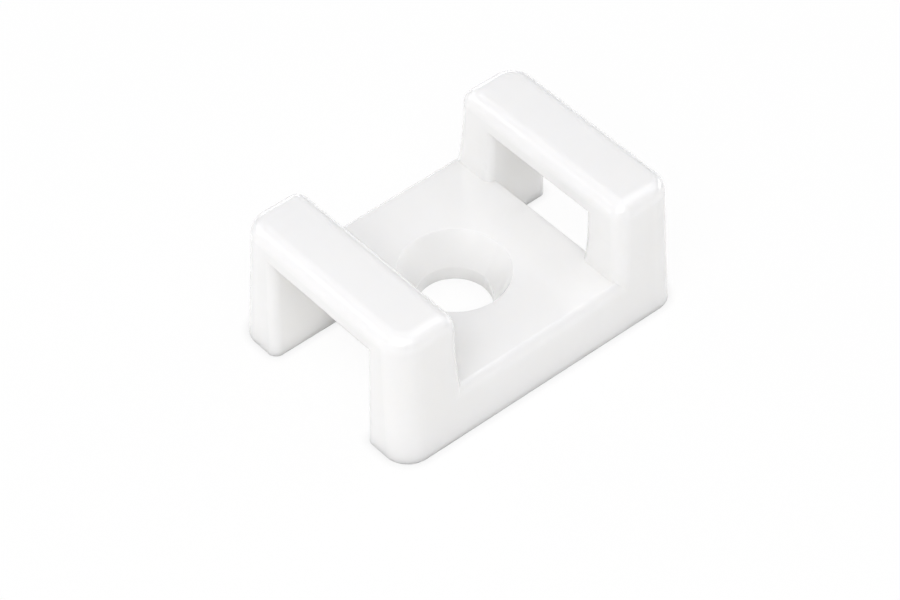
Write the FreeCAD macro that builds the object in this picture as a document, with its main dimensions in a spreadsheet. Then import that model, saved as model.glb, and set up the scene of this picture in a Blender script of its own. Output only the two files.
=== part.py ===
import FreeCAD, Part
import math
import os
import Sketcher

# Cable tie mount with two bridges, moulded in one piece.
# Length runs along X, width along Y and height along Z.
# The origin is on the ground, under the middle of the part.

doc = FreeCAD.newDocument("CableTieMount")
sheet = doc.addObject("Spreadsheet::Sheet", "Sizes")

sizes = [
    # Saddle and bridges
    ("saddle_length", 12.46),
    ("bridge_width", 4.77),
    ("bridge_thickness", 1.75),
    ("mount_height", 9.6),
    ("flare_height", 2.5),
    ("flare_inset", 0.16),
    # Legs and the windows between them
    ("window_width", 8.52),
    ("leg_thickness", 3.58),
    ("end_draft", 1.2),
    ("side_draft", 3.7),
    # Floor block
    ("floor_thickness", 3.13),
    ("recess_height", 0.7),
    ("floor_lip", 0.56),
    ("floor_relief", 0.1),
    # Screw hole with its dished seat
    ("screw_hole_diameter", 4.75),
    ("hole_offset", 0.37),
    ("dish_diameter", 7.04),
    ("dish_depth", 2.15),
    # Rounded edges
    ("corner_radius", 1.65),
    ("saddle_edge_radius", 0.86),
    ("top_edge_radius", 1.03),
    ("window_outer_radius", 0.58),
    ("window_inner_radius", 0.47),
]

for row, (alias, value) in enumerate(sizes, start=1):
    sheet.set("A%d" % row, alias)
    sheet.set("B%d" % row, str(value))
    sheet.setAlias("B%d" % row, alias)
doc.recompute()

# Lengths that follow from the sizes, written as formulas of the sheet.
whole_length = "Sizes.saddle_length + 2 * Sizes.bridge_width"
whole_width = "Sizes.window_width + 2 * Sizes.leg_thickness"
window_top = "Sizes.mount_height - Sizes.bridge_thickness"
floor_level = "Sizes.recess_height + Sizes.floor_thickness"
crease_gap = "Sizes.saddle_length - 2 * Sizes.flare_inset"
flare_radius = "(Sizes.flare_height^2 + Sizes.flare_inset^2) / (2 * Sizes.flare_inset)"
flare_centres = "2 * " + flare_radius + " - Sizes.saddle_length"
inner_limit = "min(Sizes.window_inner_radius; Sizes.floor_lip - 0.08)"

half_gap = sheet.get("saddle_length") / 2
half_window = sheet.get("window_width") / 2
half_width = half_window + sheet.get("leg_thickness")
height = sheet.get("mount_height")
floor = sheet.get("recess_height") + sheet.get("floor_thickness")
side_slope = math.tan(math.radians(sheet.get("side_draft")))
bridge_middle = half_gap + sheet.get("bridge_width") / 2
near = 0.01

body = doc.addObject("PartDesign::Body", "MountBody")
body.Label = "mount_body"
body.Placement = FreeCAD.Placement()


def flat(x, y):
    return FreeCAD.Vector(x, y, 0)


def origin_plane(role):
    for feature in body.Origin.OriginFeatures:
        if feature.Role == role:
            return feature
    raise ValueError("no plane " + role)


def new_sketch(name, role):
    sketch = body.newObject("Sketcher::SketchObject", name)
    sketch.AttachmentSupport = [(origin_plane(role), "")]
    sketch.MapMode = "FlatFace"
    return sketch


def rule(sketch, kind, *args):
    return sketch.addConstraint(Sketcher.Constraint(kind, *args))


def dimension(sketch, name, formula, kind, *args):
    # A named dimension of the sketch, driven by the sheet.
    sketch.renameConstraint(rule(sketch, kind, *args), name)
    sketch.setExpression("Constraints." + name, formula)


def closed_loop(sketch, points):
    # Straight sides through the points, joined end to end.
    first = sketch.GeometryCount
    count = len(points)
    for i in range(count):
        sketch.addGeometry(Part.LineSegment(flat(*points[i]), flat(*points[(i + 1) % count])), False)
    for i in range(count):
        rule(sketch, "Coincident", first + i, 2, first + (i + 1) % count, 1)


def edges_where(feature, test):
    names = []
    for i, edge in enumerate(feature.Shape.Edges, start=1):
        ends = edge.valueAt(edge.FirstParameter), edge.valueAt(edge.LastParameter)
        middle = edge.valueAt((edge.FirstParameter + edge.LastParameter) / 2)
        if test(middle, ends[1] - ends[0]):
            names.append("Edge%d" % i)
    return names


def faces_along(feature, axis):
    # Faces whose normal is near the axis.
    names = []
    for i, face in enumerate(feature.Shape.Faces, start=1):
        u0, u1, v0, v1 = face.ParameterRange
        if abs(face.normalAt((u0 + u1) / 2, (v0 + v1) / 2).dot(axis)) > 0.9:
            names.append("Face%d" % i)
    return names


def draft(name, base, axis, angle):
    feature = body.newObject("PartDesign::Draft", name)
    feature.Base = (base, faces_along(base, axis))
    feature.NeutralPlane = (origin_plane("XY_Plane"), [""])
    feature.setExpression("Angle", angle)
    doc.recompute()
    return feature


def pocket(name, sketch, length):
    # Cut to both sides of the sketch, through everything when no length is given.
    feature = body.newObject("PartDesign::Pocket", name)
    feature.Profile = sketch
    feature.SideType = "Symmetric"
    if length:
        feature.setExpression("Length", length)
    else:
        feature.Type = "ThroughAll"
    doc.recompute()
    return feature


def fillet(name, base, edges, radius):
    feature = body.newObject("PartDesign::Fillet", name)
    feature.Base = (base, edges)
    feature.setExpression("Radius", radius)
    doc.recompute()
    return feature


def steep(along):
    return abs(along.z) > 0.7 * along.Length > 0


# Block of the outer size, leaning in from the ground up, with round upright corners.
footprint = new_sketch("Footprint", "XY_Plane")
closed_loop(footprint, [(-5, -4), (5, -4), (5, 4), (-5, 4)])
for side in (0, 2):
    rule(footprint, "Horizontal", side)
for side in (1, 3):
    rule(footprint, "Vertical", side)
rule(footprint, "Symmetric", 0, 1, 1, 2, -1, 1)
dimension(footprint, "long", whole_length, "DistanceX", 0, 1, 0, 2, 10.0)
dimension(footprint, "wide", whole_width, "DistanceY", 1, 1, 1, 2, 8.0)
block = body.newObject("PartDesign::Pad", "Block")
block.Profile = footprint
block.setExpression("Length", "Sizes.mount_height")
doc.recompute()
end_draft = draft("EndDraft", block, FreeCAD.Vector(1, 0, 0), "Sizes.end_draft")
side_draft = draft("SideDraft", end_draft, FreeCAD.Vector(0, 1, 0), "Sizes.side_draft")
uprights = edges_where(side_draft, lambda p, along: steep(along))
corners = fillet("CornerEdges", side_draft, uprights, "Sizes.corner_radius")

# Saddle between the bridges. Its end faces flare inwards towards the floor, as arcs.
# It stops short of the floor by the relief, which is cut after the edges are rounded.
half, level, rise, inset, top = 6.3, 4.1, 2.4, 0.26, 11.0
radius = (rise * rise + inset * inset) / (2 * inset)


def flare_arc(side, low, high):
    # Arc of the flare between two heights, on the right for a side of 1 and on the left for -1.
    circle = Part.Circle(flat(side * (half - radius), level + rise), FreeCAD.Vector(0, 0, 1), radius)
    start, stop = (math.asin((level + rise - z) / radius) for z in (low, high))
    if side > 0:
        return Part.ArcOfCircle(circle, -start, -stop)
    return Part.ArcOfCircle(circle, math.pi + stop, math.pi + start)


saddle = new_sketch("SaddleProfile", "XZ_Plane")
saddle.addGeometry(Part.LineSegment(flat(-half + inset, level), flat(half - inset, level)), False)
saddle.addGeometry(flare_arc(1, level, level + rise), False)
saddle.addGeometry(Part.LineSegment(flat(half, level + rise), flat(half, top)), False)
saddle.addGeometry(Part.LineSegment(flat(half, top), flat(-half, top)), False)
saddle.addGeometry(Part.LineSegment(flat(-half, top), flat(-half, level + rise)), False)
saddle.addGeometry(flare_arc(-1, level, level + rise), False)
for first, second in ((0, 1), (2, 3), (3, 4), (5, 0)):
    rule(saddle, "Coincident", first, 2, second, 1)
for first, second in ((1, 2), (4, 5)):
    rule(saddle, "Tangent", first, 2, second, 1)
for side in (2, 4):
    rule(saddle, "Vertical", side)
rule(saddle, "Symmetric", 0, 1, 0, 2, -2)
rule(saddle, "Symmetric", 4, 1, 2, 2, -2)
rule(saddle, "Equal", 1, 5)
dimension(saddle, "level", floor_level + " + Sizes.floor_relief", "DistanceY", -1, 1, 0, 1, level)
dimension(saddle, "gap", "Sizes.saddle_length", "DistanceX", 3, 2, 3, 1, 2 * half)
dimension(saddle, "rise", "Sizes.flare_height", "DistanceY", 1, 1, 1, 2, rise)
dimension(saddle, "inset", "Sizes.flare_inset", "DistanceX", 1, 1, 1, 2, inset)
dimension(saddle, "top", "Sizes.mount_height + 1", "DistanceY", -1, 1, 3, 1, top)
saddle_cut = pocket("Saddle", saddle, "")

# Side edges of the saddle, down each leg and along the floor.
rim = edges_where(saddle_cut, lambda p, along: abs(p.x) < half_gap + near and floor < p.z < height - near
                  and abs(abs(p.y) - half_width + p.z * side_slope) < near)
saddle_edges = fillet("SaddleEdges", saddle_cut, rim, "Sizes.saddle_edge_radius")

# Top edges, one bridge at a time.
top_edges = saddle_edges
for name, sign in (("TopEdgesLeft", -1), ("TopEdgesRight", 1)):
    ring = edges_where(top_edges, lambda p, along: p.z > height - near and p.x * sign > 0)
    top_edges = fillet(name, top_edges, ring, "Sizes.top_edge_radius")

# Flat relief of the floor, which leaves a crisp line beside each rounded side edge.
# Its ends carry on the arcs of the flare.
relief = new_sketch("ReliefProfile", "XZ_Plane")
base, over = 4.0, 4.2
base_end, over_end = (half - radius + math.sqrt(radius ** 2 - (level + rise - z) ** 2) for z in (base, over))
relief.addGeometry(Part.LineSegment(flat(-base_end, base), flat(base_end, base)), False)
relief.addGeometry(flare_arc(1, base, over), False)
relief.addGeometry(Part.LineSegment(flat(over_end, over), flat(-over_end, over)), False)
relief.addGeometry(flare_arc(-1, base, over), False)
for side in range(4):
    rule(relief, "Coincident", side, 2, (side + 1) % 4, 1)
rule(relief, "Symmetric", 0, 1, 0, 2, -2)
rule(relief, "Symmetric", 2, 1, 2, 2, -2)
rule(relief, "Equal", 1, 3)
dimension(relief, "bend", flare_radius, "Radius", 1, radius)
dimension(relief, "centres", flare_centres, "DistanceX", 1, 3, 3, 3, 2 * (radius - half))
dimension(relief, "rise", floor_level + " + Sizes.floor_relief + Sizes.flare_height",
          "DistanceY", -1, 1, 1, 3, level + rise)
dimension(relief, "floor", floor_level, "DistanceY", -1, 1, 0, 1, base)
dimension(relief, "over", floor_level + " + 2 * Sizes.floor_relief", "DistanceY", -1, 1, 2, 1, over)
relief_cut = pocket("FloorRelief", relief, "")

# Passage for the tie under both bridges. The floor block stays in it as an island.
passage = new_sketch("PassageProfile", "XZ_Plane")
closed_loop(passage, [(-12, -1), (12, -1), (12, 8), (-12, 8)])
closed_loop(passage, [(-6.6, 0.7), (6.6, 0.7), (6.6, 4), (-6.6, 4)])
for side in (2, 6):
    rule(passage, "Horizontal", side)
for side in (1, 3, 5, 7):
    rule(passage, "Vertical", side)
rule(passage, "Symmetric", 0, 1, 0, 2, -2)
rule(passage, "Symmetric", 4, 1, 4, 2, -2)
dimension(passage, "run", whole_length + " + 2", "DistanceX", 0, 1, 0, 2, 24.0)
dimension(passage, "below", "Sizes.recess_height", "DistanceY", 0, 1, -1, 1, 1.0)
dimension(passage, "roof", window_top, "DistanceY", -1, 1, 2, 1, 8.0)
dimension(passage, "block", crease_gap + " + 2 * Sizes.floor_lip", "DistanceX", 4, 1, 4, 2, 13.2)
dimension(passage, "recess", "Sizes.recess_height", "DistanceY", -1, 1, 4, 1, 0.7)
dimension(passage, "floor", floor_level, "DistanceY", -1, 1, 6, 1, 4.0)
passage_cut = pocket("Passage", passage, "Sizes.window_width")

# Upright edges of the windows, outside and towards the saddle.
mouth = edges_where(passage_cut, lambda p, along: steep(along) and abs(p.x) > bridge_middle
                    and abs(abs(p.y) - half_window) < near)
outer_edges = fillet("WindowOuterEdges", passage_cut, mouth, "Sizes.window_outer_radius")
throat = edges_where(outer_edges, lambda p, along: steep(along) and abs(p.x) < bridge_middle and p.z > floor
                     and abs(abs(p.y) - half_window) < near)
inner_edges = fillet("WindowInnerEdges", outer_edges, throat, inner_limit)

# Screw hole and its dished seat, turned about an upright axis a little nearer the left bridge.
hole = new_sketch("HoleProfile", "XZ_Plane")
hole.setExpression("AttachmentOffset.Base.x", "-Sizes.hole_offset")
closed_loop(hole, [(0, -1), (2.4, -1), (2.4, 2.6), (3.6, 4), (3.6, 5), (0, 5)])
for side in (0, 4):
    rule(hole, "Horizontal", side)
for side in (1, 3):
    rule(hole, "Vertical", side)
rule(hole, "PointOnObject", 0, 1, -2)
rule(hole, "PointOnObject", 4, 2, -2)
dimension(hole, "bore", "Sizes.screw_hole_diameter / 2", "DistanceX", 0, 1, 0, 2, 2.4)
dimension(hole, "rim", "Sizes.dish_diameter / 2", "DistanceX", -1, 1, 2, 2, 3.6)
dimension(hole, "level", floor_level, "DistanceY", -1, 1, 2, 2, 4.0)
dimension(hole, "depth", "Sizes.dish_depth", "DistanceY", 2, 1, 2, 2, 1.4)
dimension(hole, "below", "Sizes.recess_height", "DistanceY", 0, 1, -1, 1, 1.0)
dimension(hole, "above", floor_level + " + 1", "DistanceY", -1, 1, 4, 1, 5.0)
hole_cut = body.newObject("PartDesign::Groove", "ScrewHole")
hole_cut.Profile = hole
hole_cut.ReferenceAxis = (hole, ["V_Axis"])
hole_cut.Angle = 360
doc.recompute()

body.Tip = hole_cut
doc.recompute()

# Every step that cuts must take something away.
steps = [block, end_draft, side_draft, corners, saddle_cut, saddle_edges, top_edges, relief_cut,
         passage_cut, outer_edges, inner_edges, hole_cut]
for before, after in zip(steps, steps[1:]):
    if after.Shape.Volume >= before.Shape.Volume - 1e-6:
        raise ValueError(after.Label + " takes nothing away")

for item in doc.Objects:
    if "Invalid" in item.State or "Error" in item.State:
        raise ValueError(item.Label + " failed")
shape = body.Shape
if shape.isNull() or not shape.isValid() or len(shape.Solids) != 1:
    raise ValueError(body.Label + " has no valid solid")

box = shape.BoundBox
print("%s: %.2f x %.2f x %.2f mm, %.1f mm3" % (body.Label, box.XLength, box.YLength, box.ZLength, shape.Volume))
os.makedirs("parts", exist_ok=True)
shape.exportStep(os.path.join("parts", body.Label + ".step"))
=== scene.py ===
import math

import bpy
from mathutils import Matrix, Vector

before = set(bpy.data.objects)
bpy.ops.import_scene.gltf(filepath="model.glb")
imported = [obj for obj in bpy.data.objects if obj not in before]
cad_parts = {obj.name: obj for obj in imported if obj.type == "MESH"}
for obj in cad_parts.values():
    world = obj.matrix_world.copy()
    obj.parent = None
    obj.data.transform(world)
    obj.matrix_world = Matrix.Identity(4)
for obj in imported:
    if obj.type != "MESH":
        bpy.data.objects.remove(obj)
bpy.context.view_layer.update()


# One shader socket. Sums and products of wires and numbers add their own Math nodes.
class Wire:
    def __init__(self, shading, socket):
        self.shading, self.socket = shading, socket

    def maths(self, operation, *terms):
        return self.shading.node("Math", {"operation": operation}, dict(enumerate(terms)))

    def __add__(self, other):
        return self.maths("ADD", self, other)

    def __radd__(self, other):
        return self.maths("ADD", other, self)

    def __mul__(self, other):
        return self.maths("MULTIPLY", self, other)

    def __rmul__(self, other):
        return self.maths("MULTIPLY", other, self)


# The nodes of one material or world
class Shading:
    def __init__(self, owner):
        owner.use_nodes = True
        self.owner, self.tree = owner, owner.node_tree

    # settings come first, then values or wires for the sockets
    def node(self, kind, settings={}, sockets={}, output=0):
        made = self.tree.nodes.new("ShaderNode" + kind)
        for name, value in settings.items():
            setattr(made, name, value)
        self.fill(made, sockets)
        return Wire(self, made.outputs[output])

    def fill(self, made, sockets):
        for name, value in sockets.items():
            if isinstance(value, Wire):
                self.tree.links.new(value.socket, made.inputs[name])
            else:
                made.inputs[name].default_value = value

    def start(self, name):
        return self.tree.nodes[name]

    # sockets 6 and 7 of a colour Mix are its two colours, output 2 is the blend
    def tint(self, mask, low, high):
        return self.node("Mix", {"data_type": "RGBA"}, {"Factor": mask, 6: low, 7: high}, output=2)


# Moulded nylon of the mount: white, a little see-through, with a soft sheen
nylon = {
    "coolWhite": (0.925, 0.923, 0.912, 1),
    "warmWhite": (0.93, 0.923, 0.9, 1),
    "cloudsPerMetre": 190,     # faint patches where the melt cooled unevenly
    "cloudDetail": 3.0,
    "rippleHeight": 0.000012,  # metres, shallow sink marks as broad as the clouds
    "grainPerMetre": 5200,     # skin left by the mould
    "grainDetail": 2.0,
    "grainHeight": 0.0000016,  # metres
    "bumpStrength": 0.6,
    "roughness": 0.16,
    "cloudRoughness": 0.03,    # roughness added by the clouds
    "grainRoughness": 0.03,    # and by the grain
    "edgeRadius": 0.00008,     # metres, roundness of creases and rims
    "edgeSamples": 6,
    "index": 1.53,
    "polish": 0.4,             # thin gloss over the skin
    "polishRoughness": 0.09,
    "glow": 0.65,              # share of light that passes under the skin
    "glowDepth": 0.002,        # metres
    "glowColours": (1.0, 0.98, 0.94),
}


def mouldedNylon():
    look = Shading(bpy.data.materials.new("mouldedNylon"))
    place = look.node("TexCoord", output="Object")
    clouds = look.node("TexNoise", sockets={"Vector": place, "Scale": nylon["cloudsPerMetre"],
                                            "Detail": nylon["cloudDetail"]})
    grain = look.node("TexNoise", sockets={"Vector": place, "Scale": nylon["grainPerMetre"],
                                           "Detail": nylon["grainDetail"]})
    skin = clouds * nylon["rippleHeight"] + grain * nylon["grainHeight"]
    rounded = look.node("Bevel", {"samples": nylon["edgeSamples"]}, {"Radius": nylon["edgeRadius"]})
    # a distance of 1 leaves the height in metres
    relief = look.node("Bump", sockets={"Strength": nylon["bumpStrength"], "Distance": 1.0,
                                        "Height": skin, "Normal": rounded})
    worn = nylon["cloudRoughness"] * clouds + nylon["grainRoughness"] * grain
    look.fill(look.start("Principled BSDF"), {
        "Base Color": look.tint(clouds, nylon["coolWhite"], nylon["warmWhite"]),
        "Roughness": nylon["roughness"] + worn,
        "Normal": relief,
        "IOR": nylon["index"],
        "Coat Weight": nylon["polish"],
        "Coat Roughness": nylon["polishRoughness"],
        "Subsurface Weight": nylon["glow"],
        "Subsurface Scale": nylon["glowDepth"],
        "Subsurface Radius": nylon["glowColours"],
    })
    return look.owner


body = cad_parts["mount_body"]
body.material_slots[0].material = mouldedNylon()
print("nylon on", body.name)

# Floor of the studio. The camera and the gloss see paper white on it, with a painted contact shadow, a
# thin dark line where the mount touches. All other light meets a matt floor.
sweep = {
    "width": 1.2,
    "colour": (0.955, 0.95, 0.935, 1),
    "roughness": 0.8,
    "paper": (1.0, 1.0, 1.0, 1),
    "paperShare": 0.93,                 # the rest is the matt floor with its shadow
    "paintedContactShade": (0.78, 0.78, 0.78, 1),   # painted shadow tone right under the edges
    "paintedShadeReach": 0.0006,             # metres the painted shadow reaches
    "paintedShadeSamples": 8,
}


def paleFloor():
    look = Shading(bpy.data.materials.new("paleFloor"))
    matt = look.start("Principled BSDF")
    look.fill(matt, {"Base Color": sweep["colour"], "Roughness": sweep["roughness"]})
    seen = look.node("LightPath", output="Is Camera Ray")
    mirrored = look.node("LightPath", output="Is Glossy Ray")
    # painted contact shadow: ambient occlusion darkens the paper white next to the mount
    paintedShadeMask = look.node("AmbientOcclusion", {"samples": sweep["paintedShadeSamples"]},
                         {"Distance": sweep["paintedShadeReach"]}, output="AO")
    paperWithPaintedShade = look.tint(paintedShadeMask, sweep["paintedContactShade"], sweep["paper"])
    paper = look.node("Emission", sockets={"Color": paperWithPaintedShade})
    shown = look.node("MixShader", sockets={"Fac": (seen + mirrored) * sweep["paperShare"],
                                            1: Wire(look, matt.outputs["BSDF"]), 2: paper})
    look.fill(look.start("Material Output"), {"Surface": shown})
    return look.owner


bpy.ops.mesh.primitive_plane_add(size=sweep["width"])
floor = bpy.context.object
floor.name = "studioFloor"
floor.data.materials.append(paleFloor())
print("floor laid")

# Camera, turned about a point near the middle of the mount
view = {
    "azimuth": -40.461,     # degrees
    "elevation": 45.772,
    "roll": -0.449,
    "distance": 0.210588,   # metres
    "height": 0.0045,
    "across": -0.00055,
    "up": -0.002446,
    "lens": 140.26,         # millimetres
    "sensor": 36,
    "nearest": 0.01,
}


# Unit vector from the mount. Azimuth 0 is the near side, 90 the side at +X.
def away(azimuth, elevation):
    a, e = math.radians(azimuth), math.radians(elevation)
    return Vector((math.sin(a) * math.cos(e), -math.cos(a) * math.cos(e), math.sin(e)))


back = away(view["azimuth"], view["elevation"])
turn = math.radians(view["azimuth"])
side = Vector((math.cos(turn), math.sin(turn), 0))
lift = back.cross(side)
roll = math.radians(view["roll"])
across = side * math.cos(roll) + lift * math.sin(roll)
upward = lift * math.cos(roll) - side * math.sin(roll)
target = Vector((0, 0, view["height"])) + across * view["across"] + upward * view["up"]
camera = bpy.data.objects.new("camera", bpy.data.cameras.new("camera"))
bpy.context.collection.objects.link(camera)
facing = Matrix((across, upward, back)).transposed().to_4x4()
camera.matrix_world = Matrix.Translation(target + back * view["distance"]) @ facing
camera.data.sensor_width = view["sensor"]
camera.data.lens = view["lens"]
camera.data.clip_start = view["nearest"]
bpy.context.scene.camera = camera
print("camera set")

# Studio: a round softbox overhead, three rings of boxes and a faint tent round them all
studio = {
    "tent": 0.03,
    "tentColour": (1, 1, 1, 1),
    "lampTone": (0.984, 0.981, 1.0),
    "overhead": {"width": 0.74, "height": 0.5, "watts": 0.81},
}

# watts go by azimuth
rings = {
    "high": {"size": (0.35, 0.35), "elevation": 50, "distance": 0.5,
             "watts": {-60: 1.08, -15: 0.56, 30: 0.1, 75: 0.5, 165: 0.04}},
    "low": {"size": (0.35, 0.35), "elevation": 25, "distance": 0.5,
            "watts": {-150: 0.59, -105: 0.14, 120: 0.07, 165: 0.06}},
    "strip": {"size": (0.35, 0.12), "elevation": 7, "distance": 0.6,
              "watts": {-110: 0.12, -70: 0.18, 80: 0.55, 150: 0.45}},
}

world = Shading(bpy.data.worlds.new("studio"))
bpy.context.scene.world = world.owner
seen = world.node("LightPath", output="Is Camera Ray")
# the camera sees white, and everything else sees the tent
strength = seen * (1 - studio["tent"]) + studio["tent"]
world.fill(world.start("Background"), {"Color": studio["tentColour"], "Strength": strength})


def softLight(name, shape, size, outward, distance, watts):
    light = bpy.data.lights.new(name, "AREA")
    light.shape = shape
    light.size, light.size_y = size
    light.energy = watts
    light.color = studio["lampTone"]
    box = bpy.data.objects.new(name, light)
    bpy.context.collection.objects.link(box)
    box.location = Vector((0, 0, view["height"])) + outward * distance
    box.rotation_mode = "QUATERNION"
    box.rotation_quaternion = outward.to_track_quat("Z", "Y")


disc = studio["overhead"]
softLight("overhead", "DISK", (disc["width"], disc["width"]), away(0, 90), disc["height"], disc["watts"])
for name, ring in rings.items():
    for azimuth, watts in ring["watts"].items():
        outward = away(azimuth, ring["elevation"])
        softLight("%s%+d" % (name, azimuth), "RECTANGLE", ring["size"], outward, ring["distance"], watts)
print("studio lit")

bpy.context.scene.view_settings.view_transform = "Standard"
